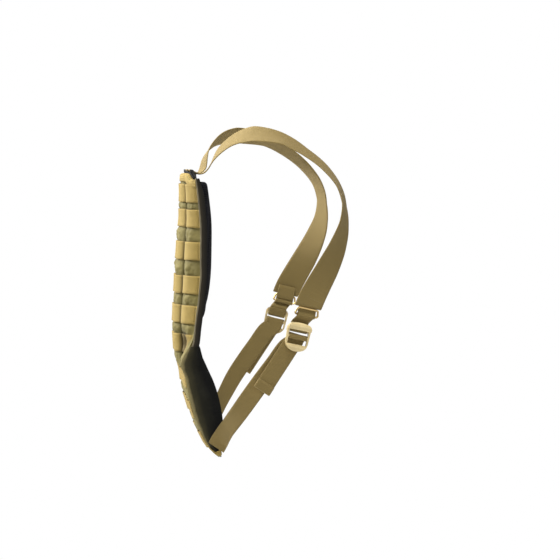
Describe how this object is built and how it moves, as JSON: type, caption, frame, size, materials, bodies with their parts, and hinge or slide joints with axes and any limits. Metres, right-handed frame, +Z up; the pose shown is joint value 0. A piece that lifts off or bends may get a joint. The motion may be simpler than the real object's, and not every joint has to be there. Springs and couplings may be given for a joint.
{
  "type": "slim back pack on webbing shoulder straps",
  "caption": "Slim back-worn pouch with rows of load webbing and a mesh pad, carried by two webbing shoulder straps with wire rings and ladder locks.",
  "frame": {"origin": "on the wearer's middle plane, level with the tops of the shoulder straps and above the shoulders", "axes": "+X towards the wearer's front, +Y towards the wearer's left, +Z up; the pouch lies on -X"},
  "size_m": [0.2398, 0.3458, 0.4716],
  "materials": {
    "shell": "matte coated weave",
    "lining": "matte",
    "pad": "matte air mesh",
    "webbing": "ribbed weave",
    "binding": "ribbed tape",
    "gusset": "matte weave",
    "ring": "bright",
    "lock": "glossy moulded"
  },
  "bodies": {
    "harness": {"outer_shell": "shell", "inner_panel": "lining", "back_pad": "pad", "mouth_tape": "webbing", "bottom_hem": "webbing", "webbing_row_1": "webbing", "webbing_row_2": "webbing", "webbing_row_3": "webbing", "webbing_row_4": "webbing", "webbing_row_5": "webbing", "webbing_row_6": "webbing", "webbing_row_7": "webbing", "webbing_row_8": "webbing", "webbing_row_9": "webbing", "edge_binding_right": "binding", "side_gusset_right": "gusset", "shoulder_strap_right": "webbing", "ring_keeper_right": "webbing", "short_web_right": "webbing", "lower_strap_right": "webbing", "edge_binding_left": "binding", "side_gusset_left": "gusset", "shoulder_strap_left": "webbing", "ring_keeper_left": "webbing", "short_web_left": "webbing", "lower_strap_left": "webbing"},
    "ring_right": {"wire_ring_right": "ring"},
    "lock_right": {"ladder_lock_right": "lock", "lock_wrap_right": "webbing"},
    "tail_right": {"strap_tail_right": "webbing"},
    "ring_left": {"wire_ring_left": "ring"},
    "lock_left": {"ladder_lock_left": "lock", "lock_wrap_left": "webbing"},
    "tail_left": {"strap_tail_left": "webbing"}
  },
  "joints": [
    {"name": "ring_hinge_right", "type": "hinge", "parent": "harness", "child": "ring_right", "pos_m": [0.06331, -0.15682, -0.24976], "axis": [0.9556, 0.195, -0.2211], "range_deg": [0, 90]},
    {"name": "lock_hinge_right", "type": "hinge", "parent": "harness", "child": "lock_right", "pos_m": [0.05227, -0.16178, -0.26975], "axis": [-0.9556, -0.195, 0.2211], "range_deg": [0, 28]},
    {"name": "tail_slide_right", "type": "slide", "parent": "harness", "child": "tail_right", "axis": [-0.5488, -0.0319, -0.8354], "range_m": [0, 0.02]},
    {"name": "ring_hinge_left", "type": "hinge", "parent": "harness", "child": "ring_left", "pos_m": [0.06331, 0.15682, -0.24976], "axis": [-0.9556, 0.195, 0.2211], "range_deg": [0, 90]},
    {"name": "lock_hinge_left", "type": "hinge", "parent": "harness", "child": "lock_left", "pos_m": [0.05227, 0.16178, -0.26975], "axis": [0.9556, -0.195, -0.2211], "range_deg": [0, 28]},
    {"name": "tail_slide_left", "type": "slide", "parent": "harness", "child": "tail_left", "axis": [-0.5488, 0.0319, -0.8354], "range_m": [0, 0.02]}
  ]
}
